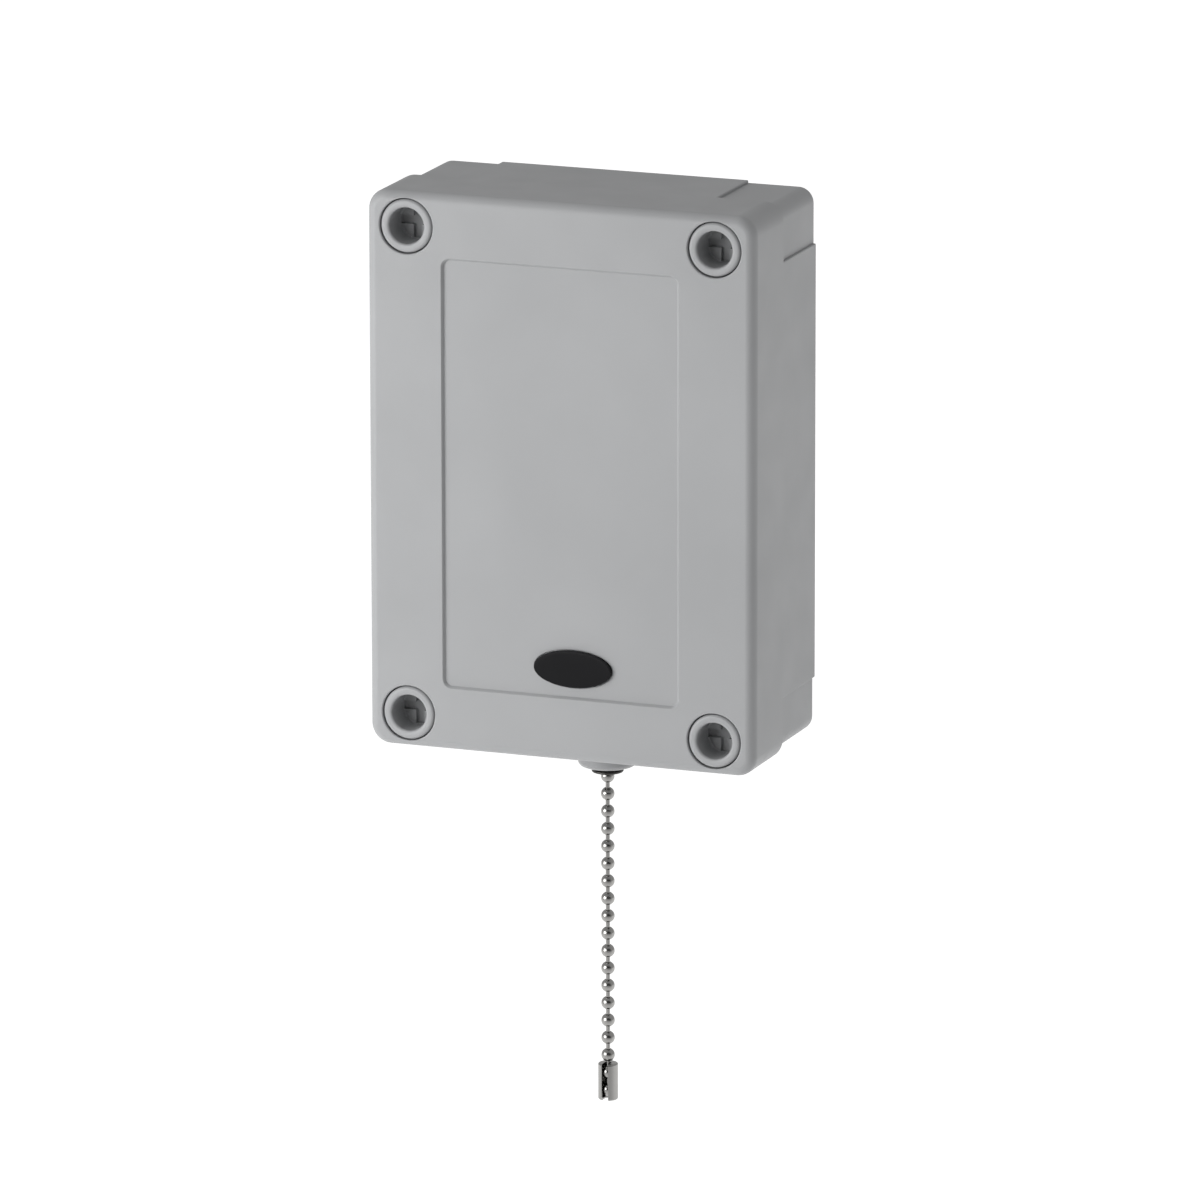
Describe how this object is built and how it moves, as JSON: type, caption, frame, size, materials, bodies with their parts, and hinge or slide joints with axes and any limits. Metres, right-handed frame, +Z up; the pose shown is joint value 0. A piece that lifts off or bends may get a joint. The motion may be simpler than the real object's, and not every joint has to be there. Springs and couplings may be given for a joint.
{
  "type": "emergency pull cord alarm",
  "caption": "Plain grey wall box with a screwed lid, a recessed label panel, an oval badge and a bead chain below that works a switch inside when pulled.",
  "frame": {"origin": "middle of the flat rear face that lies on the wall", "axes": "+Z up along the box's height, +Y into the wall, +X to the right as seen from the front; the front faces -Y and the chain hangs along -Z"},
  "size_m": [0.0946, 0.0432, 0.2194],
  "materials": {
    "housing": "light grey moulded plastic, fine satin texture",
    "lid_screws": "light grey moulded nylon",
    "bush": "light grey moulded nylon",
    "badge": "gloss black, domed",
    "rubber": "soft black",
    "dark_metal": "dark burnished metal",
    "nickel": "bright nickel plate",
    "steel": "zinc plated steel",
    "tinplate": "dull tinplate",
    "brass": "plain spring brass",
    "copper": "enamelled copper wire",
    "nylon": "natural nylon",
    "black_plastic": "black moulded plastic",
    "board": "green solder mask",
    "cell": "plain shrink sleeve",
    "capacitor": "sleeved can"
  },
  "bodies": {
    "housing": {"base": "housing", "lid": "housing", "lid_seal": "rubber", "badge": "badge", "lid_screw_1": "lid_screws", "lid_screw_2": "lid_screws", "lid_screw_3": "lid_screws", "lid_screw_4": "lid_screws", "chain_bush": "bush", "bush_seal": "rubber", "bush_nut": "black_plastic", "eyelet": "dark_metal", "pull_spring": "steel", "switch_body": "black_plastic", "lever_pin": "steel", "circuit_board": "board", "board_screw_1": "steel", "board_screw_2": "steel", "board_screw_3": "steel", "board_screw_4": "steel", "battery_holder": "black_plastic", "battery_cell": "cell", "battery_contact_left": "brass", "battery_contact_right": "brass", "radio_module": "board", "radio_shield": "tinplate", "aerial": "copper", "processor_chip": "black_plastic", "capacitor": "capacitor"},
    "pull": {"pull_rod": "nylon", "spring_cap": "nylon", "cap_clip": "steel", "bead_chain": "nickel", "chain_connector": "nickel"},
    "lever": {"switch_lever": "steel"},
    "button": {"switch_button": "nylon"}
  },
  "joints": [
    {"name": "cord_pull", "type": "slide", "parent": "housing", "child": "pull", "axis": [0, 0, -1], "range_m": [0, 0.0045], "stiffness_N_per_m": 900, "springref_m": -0.003, "deforming": ["pull_spring"]},
    {"name": "switch_lever_turn", "type": "hinge", "parent": "housing", "child": "lever", "pos_m": [0.0155, -0.0126, -0.0368], "axis": [0, -1, 0], "range_deg": [0, 16.7]},
    {"name": "switch_button_travel", "type": "slide", "parent": "housing", "child": "button", "axis": [0, 0, -1], "range_m": [0, 0.00102]}
  ],
  "couplings": [
    {"joint": "switch_lever_turn", "follows": "cord_pull", "rad_per_m": 64.516},
    {"joint": "switch_button_travel", "follows": "cord_pull", "ratio": 0.22581}
  ]
}
